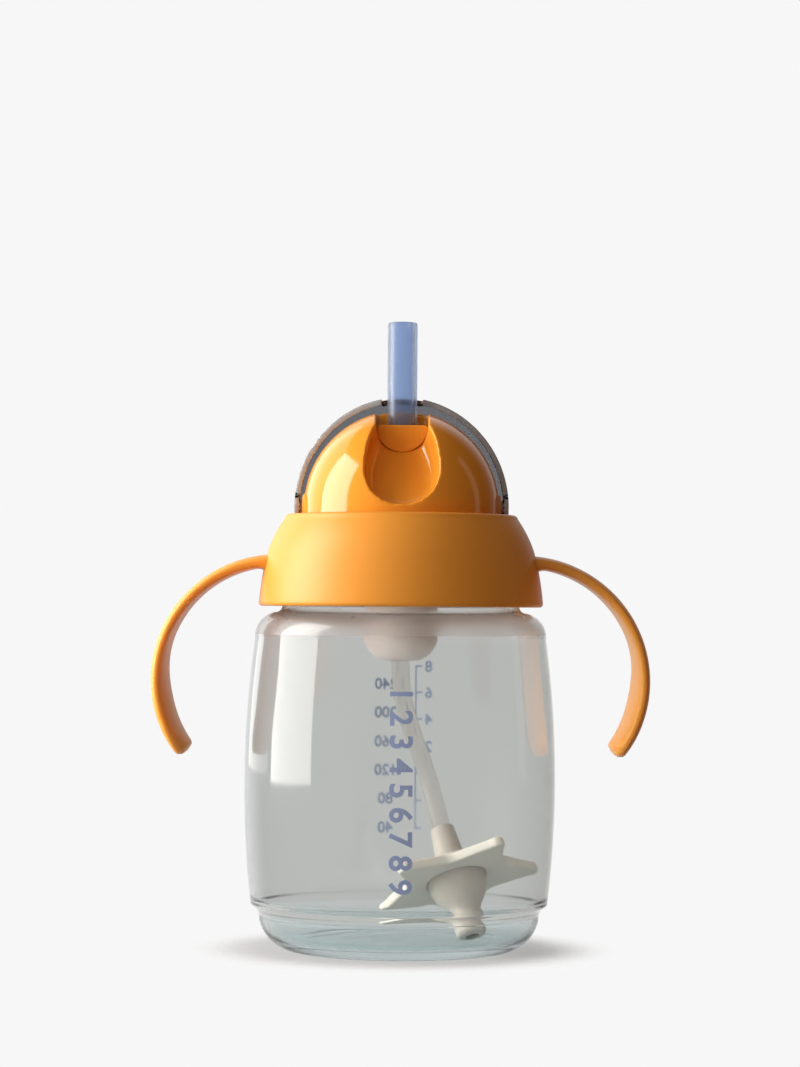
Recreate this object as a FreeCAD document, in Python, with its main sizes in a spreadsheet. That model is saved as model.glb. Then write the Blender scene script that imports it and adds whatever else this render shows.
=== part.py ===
"""A toddler's straw cup: clear bottle, screw collar with two handles, domed lid with a
swinging visor and a fold-down straw, and a weighted straw that hangs inside.

Millimetres, +Z up, origin on the table under the middle of the bottle, front towards -Y.
Every driving size is a named cell of the sheet "Sizes", and every feature is bound to it.
"""
import FreeCAD, Part
import Sketcher
import math
import os
import re

os.makedirs("parts", exist_ok=True)
doc = FreeCAD.newDocument("StrawCup")
V = FreeCAD.Vector

# --------------------------------------------------------------------------- driving sizes
SIZES = {
    # bottle, outside
    "foot_r": 27.5,          # ring that the cup stands on
    "heel_r": 32.4,
    "heel_z": 2.6,
    "band_r": 34.9,          # narrow foot band under the step
    "band_z": 7.4,
    "step_r": 37.2,          # where the step meets the body
    "step_z": 11.8,
    "belly_r": 38.9,         # widest place
    "belly_z": 43.0,
    "shoulder_r": 36.5,
    "shoulder_z": 77.1,
    "shoulder_mid_r": 35.2,
    "shoulder_mid_z": 81.6,
    "neck_r": 29.75,
    "neck_z": 84.4,
    "mouth_z": 99.2,
    "wall": 2.0,
    "base": 2.6,
    # screw thread, three starts
    "thread_lead": 15.0,
    "thread_turns": 0.22,
    "thread_starts": 3,
    "ridge_z": 90.0,         # lower edge of the neck ridges at their start
    "ridge_deep": 1.3,
    "ridge_tall": 1.9,
    "ridge_drop": 2.4,       # collar ridges run this far below the neck ridges
    "ridge_gap": 0.35,
    # collar
    "collar_z": 85.4,
    "collar_r": 35.6,
    "collar_wall": 1.9,
    "collar_knee_r": 33.4,
    "collar_knee_z": 99.0,
    "collar_bow": 0.35,
    "collar_top_r": 29.2,
    "collar_top_z": 108.4,
    "lip_r": 27.5,
    "lip_tall": 2.0,
    # handles
    "handle_arc_r": 31.4,
    "handle_thick": 3.0,
    "handle_x": 31.0,
    "handle_z": 67.0,
    "handle_deep": 24.0,
    "handle_end": 39.0,      # degrees below level where the free end stops
    # dome and its scoop
    "dome_z": 110.2,         # centre of the dome and height of the visor pivot
    "dome_r": 24.5,
    "dome_wall": 1.9,
    "flange_r": 28.4,
    "flange_z": 101.0,
    "flange_tall": 5.3,
    "shelf_r": 27.1,         # step inside the collar's lip, around the dome's foot
    "shelf_z": 107.5,
    "scoop_off": 15.3,       # scoop floor from the dome centre
    "scoop_tilt": 44.0,      # scoop floor against upright
    "scoop_wide": 18.0,
    "scoop_low": 8.0,        # widest place, down the floor from its middle
    "scoop_high": 9.5,       # upper end, up the floor from its middle
    "scoop_neck": 9.6,       # width at the upper end
    "scoop_round": 4.0,
    "slot_r": 6.4,
    "slot_z": 130.2,
    "slot_back": 3.2,
    "boss_r": 3.3,
    "boss_x": 25.1,
    # straw and its saddle
    "straw_y": -1.5,
    "straw_r": 3.75,
    "straw_bore_r": 2.45,
    "straw_top": 156.6,
    "fold_z": 129.2,
    "saddle_top": 130.5,
    "saddle_floor": 126.4,
    "saddle_front": 2.1,
    "fit": 0.2,
    # visor
    "visor_x": 26.9,
    "visor_rise": 27.8,
    "visor_wall": 1.4,
    "visor_lead": 91.3,      # rim, degrees up from the front
    "visor_span": 91.0,
    "pin_r": 1.9,
    "ear_r": 3.2,
    "notch_half": 5.0,
    "notch_deep": 3.6,
    # lid underside
    "plate_r": 26.0,
    "plate_thick": 1.6,
    "gasket_r": 29.6,
    "bowl_r": 9.3,
    "bowl_wall": 1.3,
    "bowl_top": 98.6,
    "bowl_bend": 79.0,
    "bowl_z": 71.9,
    "bowl_flat_r": 4.6,
    "valve_z": 94.6,
    "vent_y": 16.5,
    "vent_r": 3.2,
    # lower tube and weight
    "tube_r": 2.2,
    "tube_bore_r": 1.6,
    "hub_x": 13.1,
    "hub_y": -5.4,
    "hub_z": 21.7,
    "lean_x": -0.2482,       # direction of the weight's axis, upwards
    "lean_y": 0.4537,
    "lean_z": 0.8559,
    "star_turn": -53.0,
    "star_r": 21.4,
    "star_drop": 3.4,
    "brim_drop": 1.2,
    "star_thick": 2.4,
    "star_root": 14.0,       # half width of an arm if it ran on to the middle
    "star_arms": 5,
    "arm_tip_r": 1.9,
    "sleeve_top": 9.8,
    "sleeve_foot": 1.5,
    "sleeve_top_r": 2.95,
    "sleeve_foot_r": 3.6,
    "bulb_r": 7.3,
    "post_r": 3.85,
    "post_end": -20.2,
}

sheet = doc.addObject("Spreadsheet::Sheet", "Sizes")
for row, (alias, value) in enumerate(SIZES.items(), start=1):
    sheet.set(f"A{row}", alias.replace("_", " "))
    sheet.set(f"B{row}", str(value))
    sheet.setAlias(f"B{row}", alias)
doc.recompute()


def bound(formula):
    """The formula with every size name pointed at the sheet."""
    return re.sub(r"[a-z]+(?:_[a-z]+)+|\b(?:wall|base|fit)\b", lambda name: "Sizes." + name.group(0), formula)


def size(formula):
    """The number that a formula of size names gives now."""
    return float(sheet.evalExpression(bound(formula)))


# --------------------------------------------------------------------------- makers
def plane(body, role):
    """One of the body's own origin planes or axes."""
    return next(item for item in body.Origin.OriginFeatures if item.Role == role)


def new_body(name):
    """An empty body; its label names the sub-part's file."""
    body = doc.addObject("PartDesign::Body", name)
    body.Label = name
    return body


def pin_point(sketch, place, x, y):
    """Fixes one sketch point at the formulas x and y; place is (geometry, end)."""
    for kind, formula in (("DistanceX", x), ("DistanceY", y)):
        index = sketch.addConstraint(Sketcher.Constraint(kind, -1, 1, *place, size(formula)))
        sketch.setExpression(f"Constraints[{index}]", bound(formula))


def outline(body, name, role, start, *steps):
    """A closed sketch on one of the body's planes.

    start is (x, y); a step is (x, y) for a straight edge to there, or (x, y, via_x, via_y)
    for an arc to there through the via point. The last step ends at the start.
    """
    sketch = body.newObject("Sketcher::SketchObject", name)
    sketch.AttachmentSupport = [(plane(body, role), "")]
    sketch.MapMode = "FlatFace"
    here = start
    first = 0
    last = None
    for count, step in enumerate(steps):
        p, q = (V(size(a), size(b), 0) for a, b in (here, step[:2]))
        if len(step) == 2:
            edge = sketch.addGeometry(Part.LineSegment(p, q))
            begin, end = 1, 2
        else:
            via = V(size(step[2]), size(step[3]), 0)
            arc = Part.Arc(p, via, q)
            edge = sketch.addGeometry(arc)
            flipped = (sketch.getPoint(edge, 1) - p).Length > (sketch.getPoint(edge, 2) - p).Length
            begin, end = (2, 1) if flipped else (1, 2)
            on = sketch.addGeometry(Part.Point(via), True)
            pin_point(sketch, (on, 1), *step[2:])
            sketch.addConstraint(Sketcher.Constraint("PointOnObject", on, 1, edge))
        pin_point(sketch, (edge, begin), *here)
        if last is not None:
            sketch.addConstraint(Sketcher.Constraint("Coincident", *last, edge, begin))
        if count == 0:
            first = (edge, begin)
        last = (edge, end)
        here = step[:2]
    sketch.addConstraint(Sketcher.Constraint("Coincident", *last, *first))
    return sketch


def solid_of_turning(body, sketch, kind="Revolution"):
    """Turns a sketch right round the body's Z axis: adds (Revolution) or cuts (Groove)."""
    turned = body.newObject(f"PartDesign::{kind}", f"{body.Name}_{kind}_{sketch.Name}")
    turned.Profile = sketch
    turned.ReferenceAxis = (plane(body, "Z_Axis"), [""])
    turned.Angle = 360
    return turned


def turned_part(name, *loops):
    """A body turned from its first loop, with each further loop cut away."""
    body = new_body(name)
    for count, loop in enumerate(loops):
        sketch = outline(body, f"{name}_outline_{count}", "XZ_Plane", *loop)
        solid_of_turning(body, sketch, "Groove" if count else "Revolution")
    return body


def rod(name, radius, length, place, axis=V(0, 0, 1)):
    """A cylinder whose sizes are formulas; place is three formulas for its near end."""
    cylinder = doc.addObject("Part::Cylinder", name)
    cylinder.setExpression("Radius", bound(radius))
    cylinder.setExpression("Height", bound(length))
    cylinder.Placement = FreeCAD.Placement(V(), FreeCAD.Rotation(V(0, 0, 1), axis))
    for key, formula in zip("xyz", place):
        cylinder.setExpression(f"Placement.Base.{key}", bound(formula))
    return cylinder


def block(name, lengths, place):
    """A box whose three lengths and near corner are formulas."""
    box = doc.addObject("Part::Box", name)
    for key, formula in zip(("Length", "Width", "Height"), lengths):
        box.setExpression(key, bound(formula))
    for key, formula in zip("xyz", place):
        box.setExpression(f"Placement.Base.{key}", bound(formula))
    return box


def joined(name, *shapes):
    """All the shapes as one solid."""
    fuse = doc.addObject("Part::MultiFuse", name)
    fuse.Shapes = list(shapes)
    fuse.Refine = True
    return fuse


def without(name, base, *tools):
    """The base with each tool cut away in turn."""
    for count, tool in enumerate(tools):
        cut = doc.addObject("Part::Cut", f"{name}_{count}")
        cut.Base = base
        cut.Tool = tool
        base = cut
    base.Label = name
    return base


def thread_ridges(body, root, tip, floor):
    """Three helical ridges round the body, from the root radius inside its wall to the tip."""
    sketch = outline(
        body, f"{body.Name}_ridge", "XZ_Plane", (root, floor),
        (tip, f"{floor} + 0.6"), (tip, f"{floor} + ridge_tall - 0.6"),
        (root, f"{floor} + ridge_tall"), (root, floor))
    ridge = body.newObject("PartDesign::AdditiveHelix", f"{body.Name}_helix")
    ridge.Profile = sketch
    ridge.ReferenceAxis = (plane(body, "Z_Axis"), [""])
    ridge.Mode = "pitch-turns-angle"
    ridge.setExpression("Pitch", bound("thread_lead"))
    ridge.setExpression("Turns", bound("thread_turns"))
    doc.recompute()
    pattern = body.newObject("PartDesign::PolarPattern", f"{body.Name}_starts")
    pattern.Originals = [ridge]
    pattern.Axis = (plane(body, "Z_Axis"), [""])
    pattern.Angle = 360
    pattern.setExpression("Occurrences", bound("thread_starts"))
    body.Tip = pattern


# --------------------------------------------------------------------------- bottle
def make_bottle():
    """Clear blown bottle: foot band, step, barrel body, shoulder and threaded neck."""
    outside = (
        ("0", "0"), ("foot_r", "0"), ("band_r", "band_z", "heel_r + 0.3", "heel_z"),
        ("step_r", "step_z", "band_r + 0.55", "band_z + 1.9"),
        ("shoulder_r", "shoulder_z", "belly_r", "belly_z"),
        ("neck_r + 1.2", "neck_z - 0.3", "shoulder_mid_r", "shoulder_mid_z"),
        ("neck_r", "neck_z"), ("neck_r", "mouth_z"), ("0", "mouth_z"), ("0", "0"))
    inside = (
        ("0", "base + 0.6"), ("foot_r - 5", "base"),
        ("band_r - wall", "band_z + 1.2", "heel_r - 1.1", "heel_z + 1.9"),
        ("step_r - wall", "step_z + 0.6", "band_r - wall + 0.6", "band_z + 2.8"),
        ("shoulder_r - wall", "shoulder_z - 0.4", "belly_r - wall", "belly_z"),
        ("neck_r - wall", "neck_z - 1.2", "shoulder_mid_r - wall - 0.9", "shoulder_mid_z - 1.6"),
        ("neck_r - wall", "mouth_z + 1"), ("0", "mouth_z + 1"), ("0", "base + 0.6"))
    body = turned_part("bottle", outside, inside)
    thread_ridges(body, "neck_r - 0.3", "neck_r + ridge_deep", "ridge_z")
    return body


# --------------------------------------------------------------------------- collar and handles
def collar_outside():
    """Outer edge points of the collar, from its foot to its lip."""
    return (
        ("collar_r", "collar_z + 1.0"),
        ("collar_knee_r", "collar_knee_z",
         "(collar_r + collar_knee_r) / 2 + collar_bow", "(collar_z + collar_knee_z) / 2"),
        ("collar_top_r", "collar_top_z - 1.0",
         "(collar_knee_r + collar_top_r) / 2 + 0.3", "(collar_knee_z + collar_top_z - 1) / 2"),
        ("collar_top_r - 1.2", "collar_top_z", "collar_top_r - 0.25", "collar_top_z - 0.3"))


def make_collar():
    """Screw ring: tapered skirt with three inner thread ridges and a lip over the dome."""
    foot, knee, brow, crown = collar_outside()
    loop = (
        ("collar_r - 1.0", "collar_z"), (foot[0], foot[1], "collar_r - 0.25", "collar_z + 0.3"),
        knee, brow, crown, ("lip_r", "collar_top_z"), ("lip_r", "collar_top_z - lip_tall"),
        ("collar_top_r - 0.5", "collar_top_z - lip_tall"),
        ("collar_knee_r - collar_wall", "collar_knee_z - 0.6"),
        ("collar_r - collar_wall - 0.6", "collar_z"), ("collar_r - 1.0", "collar_z"))
    body = turned_part("collar", loop)
    thread_ridges(body, "collar_r - 2.3", "neck_r + ridge_gap", "(ridge_z - ridge_drop)")
    return body


def make_handles():
    """Two curved strap handles, moulded on the collar and open at the bottom."""
    outer = "handle_arc_r"
    inner = "(handle_arc_r - handle_thick)"
    middle = "(handle_arc_r - handle_thick / 2)"
    end = "handle_end"
    body = new_body("handle_blank")
    sketch = outline(
        body, "handle_strap", "XZ_Plane", ("handle_x", f"handle_z + {outer}"),
        (f"handle_x + {outer} * cos({end})", f"handle_z - {outer} * sin({end})",
         f"handle_x + {outer} * cos(25)", f"handle_z + {outer} * sin(25)"),
        (f"handle_x + {inner} * cos({end})", f"handle_z - {inner} * sin({end})",
         f"handle_x + {middle} * cos({end} + 2.6)", f"handle_z - {middle} * sin({end} + 2.6)"),
        ("handle_x", f"handle_z + {inner}",
         f"handle_x + {inner} * cos(25)", f"handle_z + {inner} * sin(25)"),
        ("handle_x", f"handle_z + {outer}"))
    strap = body.newObject("PartDesign::Pad", "handle_pad")
    strap.Profile = sketch
    strap.SideType = "Symmetric"
    strap.setExpression("Length", bound("handle_deep"))
    doc.recompute()
    long_edges = [f"Edge{i + 1}" for i, edge in enumerate(strap.Shape.Edges)
                  if edge.Length > size("handle_arc_r")]
    rounding = body.newObject("PartDesign::Fillet", "handle_edges")
    rounding.Base = (strap, long_edges)
    rounding.Radius = size("handle_thick") * 0.4
    # the screw ring's own outer surface trims the strap's root
    plug = turned_part(
        "collar_plug", (("0", "collar_z"), ("collar_r", "collar_z"), *collar_outside(),
                        ("0", "collar_top_z"), ("0", "collar_z")))
    right = without("handle_right", body, plug)
    left = doc.addObject("Part::Mirroring", "handle_left")
    left.Source = right
    left.Normal = V(1, 0, 0)
    return left, right


# --------------------------------------------------------------------------- dome
def scoop_tool(name, grow):
    """The egg-shaped scoop that the folded straw lies in, grown all round by `grow` mm."""
    body = new_body(name)
    half = f"(scoop_wide / 2 + {grow})"
    neck = f"(scoop_neck / 2 + {grow})"
    rise = "(scoop_low + scoop_high)"
    # each side is an arc that leaves the round lower end upright
    side = f"(({rise} ^ 2 + ({half} - {neck}) ^ 2) / (2 * ({half} - {neck})))"
    middle = f"({half} - {side} + sqrt({side} ^ 2 - ({rise} / 2) ^ 2))"
    half_way = "((scoop_high - scoop_low) / 2)"
    sketch = outline(
        body, f"{name}_outline", "XY_Plane", (f"-{neck}", "scoop_high"),
        (f"-{half}", "-scoop_low", f"-{middle}", half_way),
        (half, "-scoop_low", "0", f"-scoop_low - {half}"),
        (neck, "scoop_high", middle, half_way), (f"-{neck}", "scoop_high"))
    pad = body.newObject("PartDesign::Pad", f"{name}_pad")
    pad.Profile = sketch
    pad.Length = 30
    doc.recompute()
    floor = [f"Edge{i + 1}" for i, edge in enumerate(pad.Shape.Edges)
             if abs(edge.BoundBox.ZMax) < 0.01 and edge.BoundBox.YMin < size("scoop_high") - 1]
    rounding = body.newObject("PartDesign::Fillet", f"{name}_floor")
    rounding.Base = (pad, floor)
    rounding.setExpression("Radius", bound("scoop_round"))
    # sketch +Y runs up the trough, sketch normal points out of the dome
    tilt = math.radians(90 - size("scoop_tilt"))
    out = V(0, -math.sin(tilt), math.cos(tilt))
    up = V(0, math.cos(tilt), math.sin(tilt))
    turn = FreeCAD.Rotation(V(1, 0, 0), up, out, "ZXY")
    foot = V(0, 0, size("dome_z")) + out * (size("scoop_off") - grow)
    body.Placement = FreeCAD.Placement(foot, turn)
    return body


def make_dome():
    """Glossy domed lid: sphere over a clamped flange, scoop, straw slot and pivot holes."""
    shell = turned_part(
        "dome_blank",
        (("0", "flange_z"), ("flange_r", "flange_z"), ("flange_r", "flange_z + flange_tall"),
         ("shelf_r", "flange_z + flange_tall"), ("shelf_r", "shelf_z"),
         ("dome_r", "shelf_z"), ("dome_r", "dome_z"),
         ("0", "dome_z + dome_r", "dome_r * cos(45)", "dome_z + dome_r * sin(45)"), ("0", "flange_z")))
    inner = "(dome_r - dome_wall)"
    cavity = turned_part(
        "dome_cavity",
        (("0", "flange_z - 1"), ("plate_r", "flange_z - 1"), ("plate_r", "flange_z + 2.4"),
         (inner, "flange_z + 3.6"), (inner, "dome_z"),
         ("0", f"dome_z + {inner}", f"{inner} * cos(45)", f"dome_z + {inner} * sin(45)"),
         ("0", "flange_z - 1")))
    skin = scoop_tool("scoop_skin", 1.8)
    well = rod("slot_skin", "slot_r + 1.8", "40", ("0", "straw_y - 9", "slot_z"), V(0, 1, 0))
    well.setExpression("Height", bound("slot_back - straw_y + 9 + 1.8"))
    hollow = without("dome_hollow", cavity, skin, well)
    bosses = rod("pivot_bosses", "boss_r", "boss_x * 2", ("-boss_x", "0", "dome_z"), V(1, 0, 0))
    gap = block("boss_gap", ("44", "20", "20"), ("-22", "-10", "dome_z - 10"))
    solid = joined("dome_solid", without("dome_shell", shell, hollow), without("boss_pair", bosses, gap))
    scoop = scoop_tool("scoop", 0.0)
    slot = rod("straw_slot", "slot_r", "30", ("0", "straw_y - 16", "slot_z"), V(0, 1, 0))
    slot.setExpression("Height", bound("slot_back - straw_y + 16"))
    slot_top = block("slot_top", ("slot_r * 2", "slot_back - straw_y + 16", "20"),
                     ("-slot_r", "straw_y - 16", "slot_z"))
    passage = rod("straw_passage", "straw_r + fit", "30", ("0", "straw_y", "slot_z - 20"))
    holes = rod("pivot_holes", "pin_r + 0.1", "80", ("-40", "0", "dome_z"), V(1, 0, 0))
    ear_room = [rod(f"ear_room_{n}", "ear_r + 0.4", "5", (at, "0", "dome_z"), V(1, 0, 0))
                for n, at in enumerate(("-boss_x - 5", "boss_x"))]
    return without("dome", solid, scoop, slot, slot_top, passage, holes, *ear_room)


def make_saddle():
    """Half-round tongue and floor that the straw stands in and folds over."""
    body = new_body("straw_saddle_blank")
    r = "(slot_r - 0.3)"
    sketch = outline(
        body, "saddle_face", "XZ_Plane", (f"-{r}", "slot_z - 1"),
        (r, "slot_z - 1", "0", f"slot_z - {r}"),
        (f"{r} * 0.82", "saddle_top", f"{r} * 0.97", "saddle_top - 0.35"),
        (f"-{r} * 0.82", "saddle_top"), (f"-{r}", "slot_z - 1", f"-{r} * 0.97", "saddle_top - 0.35"))
    pad = body.newObject("PartDesign::Pad", "saddle_pad")
    pad.Profile = sketch
    pad.setExpression("Length", bound("slot_back - straw_y + straw_r + saddle_front + 0.5"))
    back = block("saddle_back", ("20", "20", "20"), ("-10", "straw_y - straw_r - 0.35", "saddle_floor"))
    bore = rod("saddle_bore", "straw_r + fit", "30", ("0", "straw_y", "slot_z - 12"))
    body.setExpression("Placement.Base.y", bound("slot_back - 0.2"))
    return without("straw_saddle", body, back, bore)


# --------------------------------------------------------------------------- visor
def make_visor():
    """Smoked hood: part of an egg-shaped shell turned about its pivots, with ears and pins."""
    hood = new_body("visor_blank")
    x, rise = "visor_x", "visor_rise"
    ix, irise = "(visor_x - visor_wall)", "(visor_rise - visor_wall)"
    sketch = outline(
        hood, "visor_section", "XY_Plane", (x, "0"),
        ("0", rise, f"{x} * cos(45)", f"{rise} * sin(45)"),
        (f"-{x}", "0", f"-{x} * cos(45)", f"{rise} * sin(45)"), (f"-{ix}", "0"),
        ("0", irise, f"-{ix} * cos(45)", f"{irise} * sin(45)"),
        (ix, "0", f"{ix} * cos(45)", f"{irise} * sin(45)"), (x, "0"))
    turned = hood.newObject("PartDesign::Revolution", "visor_turn")
    turned.Profile = sketch
    turned.ReferenceAxis = (plane(hood, "X_Axis"), [""])
    turned.setExpression("Angle", bound("visor_span"))
    # the section lies along +Y and turns up and over; this puts its first edge at the back
    start = 180 - size("visor_lead") - size("visor_span")
    hood.Placement = FreeCAD.Placement(V(0, 0, size("dome_z")), FreeCAD.Rotation(V(1, 0, 0), start))
    notch = block("visor_notch", ("notch_half * 2", "notch_deep + 10", "20"),
                  ("-notch_half", "-10", "dome_z + dome_r - 4"))
    hub = joined("visor_hub", *(rod(f"ear_{n}", "ear_r", "visor_wall", (at, "0", "dome_z"), V(1, 0, 0))
                                for n, at in enumerate(("-visor_x", "visor_x - visor_wall"))))
    pins = joined("visor_pins", *(rod(f"pin_{n}", "pin_r", "4.0", (at, "0", "dome_z"), V(1, 0, 0))
                                  for n, at in enumerate(("-visor_x + 0.3", "visor_x - 4.3"))))
    return without("visor", joined("visor_solid", hood, hub, pins), notch)


# --------------------------------------------------------------------------- straw and lid underside
def make_straw():
    """Mouthpiece straw: the stem fixed in the lid and the tip that folds over the saddle."""
    shapes = []
    for name, low, high in (("straw_stem", "plate_thick + flange_z", "fold_z"),
                            ("straw_tip", "fold_z", "straw_top")):
        body = new_body(name)
        rim = "0.5" if name == "straw_tip" else "0.05"
        sketch = outline(
            body, f"{name}_wall", "XZ_Plane", ("straw_bore_r", low), ("straw_r", low),
            ("straw_r", f"{high} - {rim}"), (f"straw_r - {rim}", high),
            (f"straw_bore_r + {rim} * 0.5", high), ("straw_bore_r", f"{high} - {rim} * 0.5"),
            ("straw_bore_r", low))
        solid_of_turning(body, sketch)
        body.setExpression("Placement.Base.y", bound("straw_y"))
        shapes.append(body)
    return shapes


def make_valve_plate():
    """Inner lid plate: closes the dome, carries the straw and holds the valve bowl below."""
    blank = turned_part(
        "valve_plate_blank",
        (("0", "flange_z"), ("plate_r - fit", "flange_z"), ("plate_r - fit", "flange_z + plate_thick"),
         ("0", "flange_z + plate_thick"), ("0", "flange_z")))
    socket = rod("plate_socket", "bowl_r - bowl_wall - 0.05", "7", ("0", "0", "flange_z - 7"))
    socket.setExpression("Height", bound("flange_z - valve_z - 1.2"))
    socket.setExpression("Placement.Base.z", bound("valve_z + 1.2"))
    bore = rod("plate_bore", "straw_bore_r", "40", ("0", "straw_y", "valve_z - 5"))
    vent = rod("vent_hole", "1.4", "10", ("0", "vent_y", "flange_z - 5"))
    return without("valve_plate", joined("plate_solid", blank, socket), bore, vent)


def make_small_parts():
    """Gasket, valve bowl, slit valve and air vent valve."""
    gasket = turned_part(
        "lid_gasket",
        (("neck_r - wall", "mouth_z"), ("gasket_r", "mouth_z"), ("gasket_r", "flange_z"),
         ("neck_r - wall", "flange_z"), ("neck_r - wall", "mouth_z")))
    bowl = turned_part(
        "valve_bowl",
        (("tube_bore_r", "bowl_z"), ("bowl_flat_r", "bowl_z"),
         ("bowl_r", "bowl_bend", "bowl_r - 1.25", "bowl_z + 2.4"), ("bowl_r", "bowl_top - 1.4"),
         ("bowl_r + 2", "bowl_top - 1.4"), ("bowl_r + 2", "bowl_top + 2.4"),
         ("bowl_r - bowl_wall", "bowl_top + 2.4"), ("bowl_r - bowl_wall", "bowl_bend"),
         ("bowl_flat_r - 0.6", "bowl_z + bowl_wall", "bowl_r - 1.3 - bowl_wall", "bowl_z + 2.9"),
         ("tube_bore_r", "bowl_z + bowl_wall"), ("tube_bore_r", "bowl_z")))
    blank = turned_part(
        "slit_valve_blank",
        (("0", "valve_z - 1.6"), ("3.4", "valve_z - 0.4"), ("bowl_r - bowl_wall - 0.1", "valve_z - 0.4"),
         ("bowl_r - bowl_wall - 0.1", "valve_z + 1.2"), ("3.6", "valve_z + 1.2"),
         ("3.0", "valve_z + 0.4"), ("0", "valve_z - 0.9"), ("0", "valve_z - 1.6")))
    slits = (block("slit_a", ("5.0", "0.25", "6"), ("-2.5", "-0.125", "valve_z - 3")),
             block("slit_b", ("0.25", "5.0", "6"), ("-0.125", "-2.5", "valve_z - 3")))
    slit_valve = without("slit_valve", blank, *slits)
    # mushroom-shaped air valve: stem up through the plate's hole, flap below it
    vent = turned_part(
        "air_vent_valve",
        (("0", "flange_z - 1.4"), ("vent_r", "flange_z - 0.5"), ("vent_r", "flange_z"), ("1.3", "flange_z"),
         ("1.3", "flange_z + plate_thick"), ("2.2", "flange_z + plate_thick"),
         ("1.0", "flange_z + plate_thick + 2.4"), ("0", "flange_z + plate_thick + 2.4"),
         ("0", "flange_z - 1.4")))
    vent.setExpression("Placement.Base.y", bound("vent_y"))
    return gasket, bowl, slit_valve, vent


# --------------------------------------------------------------------------- weighted straw
def lean():
    """Placement of everything on the weight's own axis."""
    up = V(size("lean_x"), size("lean_y"), size("lean_z"))
    turn = FreeCAD.Rotation(V(0, 1, 0).cross(up), V(), up, "ZXY")
    spot = V(size("hub_x"), size("hub_y"), size("hub_z"))
    return FreeCAD.Placement(spot, turn)


def make_star():
    """Five-armed soft star, shaped like a sun hat: its crown covers the bulb's top."""
    body = new_body("star_grip")
    reach = "(star_r - arm_tip_r)"
    sketch = outline(
        body, "star_arm", "XY_Plane", ("0", "-star_root"), (reach, "-arm_tip_r"),
        (reach, "arm_tip_r", "star_r", "0"), ("0", "star_root"), ("0", "-star_root"))
    arm = body.newObject("PartDesign::Pad", "star_arm_pad")
    arm.Profile = sketch
    arm.SideType = "Symmetric"
    arm.Length = 30
    ring = body.newObject("PartDesign::PolarPattern", "star_arms")
    ring.Originals = [arm]
    ring.Axis = (plane(body, "Z_Axis"), [""])
    ring.Angle = 360
    ring.setExpression("Occurrences", bound("star_arms"))
    body.Tip = ring
    doc.recompute()
    valleys = [f"Edge{i + 1}" for i, edge in enumerate(ring.Shape.Edges)
               if abs(edge.Length - 30) < 0.01
               and edge.CenterOfMass.sub(V(0, 0, edge.CenterOfMass.z)).Length < 15]
    smooth = body.newObject("PartDesign::Fillet", "star_valleys")
    smooth.Base = (ring, valleys)
    smooth.Radius = 4
    top = outline(
        body, "star_above", "XZ_Plane", ("0", "star_thick / 2"), ("4.6", "star_thick / 2"),
        ("9.6", "star_thick / 2 - star_drop", "7.6", "star_thick / 2 - star_drop * 0.42"),
        ("star_r + 1", "star_thick / 2 - star_drop - brim_drop"),
        ("star_r + 1", "20"), ("0", "20"), ("0", "star_thick / 2"))
    solid_of_turning(body, top, "Groove")
    low = outline(
        body, "star_below", "XZ_Plane", ("0", "-star_thick / 2"), ("4.8", "-star_thick / 2"),
        ("bulb_r + 0.1", "-star_thick / 2 - star_drop", "bulb_r - 0.45", "-2.6"),
        ("star_r + 1", "-star_thick / 2 - star_drop - brim_drop"),
        ("star_r + 1", "-20"), ("0", "-20"), ("0", "-star_thick / 2"))
    solid_of_turning(body, low, "Groove")
    hole = outline(
        body, "star_hole", "XZ_Plane", ("0", "-3"), ("2.75", "-3"), ("2.75", "3"), ("0", "3"), ("0", "-3"))
    solid_of_turning(body, hole, "Groove")
    place = lean()
    body.Placement = place * FreeCAD.Placement(
        V(), FreeCAD.Rotation(V(0, 0, 1), size("star_turn")))
    return body


def make_weight():
    """Sleeve on the tube's end, bulb with post below the star, and the steel ring inside."""
    deep = "(sleeve_foot - 5.6)"
    sleeve = turned_part(
        "weight_sleeve",
        (("tube_bore_r", deep), ("2.65", deep), ("2.65", "star_thick / 2"),
         ("4.3", "star_thick / 2"), ("4.2", "sleeve_foot + 0.5"), ("sleeve_foot_r", "sleeve_foot + 0.9"),
         ("sleeve_top_r", "sleeve_top - 0.3"), ("sleeve_top_r - 0.3", "sleeve_top"),
         ("tube_r + 0.02", "sleeve_top"), ("tube_r + 0.02", "sleeve_top - 5.0"),
         ("tube_bore_r", "sleeve_top - 5.0"), ("tube_bore_r", deep)))
    crown = "(-star_thick / 2)"
    bulb = turned_part(
        "weight_bulb",
        (("tube_bore_r", "post_end"), ("post_r - 1.6", "post_end"),
         ("post_r", "post_end + 1.6", "post_r - 0.45", "post_end + 0.45"), ("post_r - 0.1", "-13.6"),
         ("bulb_r", "-5.0", "bulb_r - 1.9", "-9.8"), ("4.8", crown, "bulb_r - 0.6", "-2.7"),
         ("2.7", crown), ("2.7", f"{deep} - 0.1"), ("tube_bore_r", f"{deep} - 0.1"),
         ("tube_bore_r", "post_end")),
        (("3.6", "-2.6"), ("bulb_r - 1.5", "-2.6"), ("bulb_r - 1.5", "-6.4"), ("4.6", "-10.4"),
         ("3.6", "-10.4"), ("3.6", "-2.6")))
    ring = turned_part(
        "steel_weight",
        (("3.7", "-2.7"), ("bulb_r - 1.6", "-2.7"), ("bulb_r - 1.6", "-6.35"), ("4.56", "-10.3"),
         ("3.7", "-10.3"), ("3.7", "-2.7")))
    for body in (sleeve, bulb, ring):
        body.Placement = lean()
    return sleeve, bulb, ring


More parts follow.
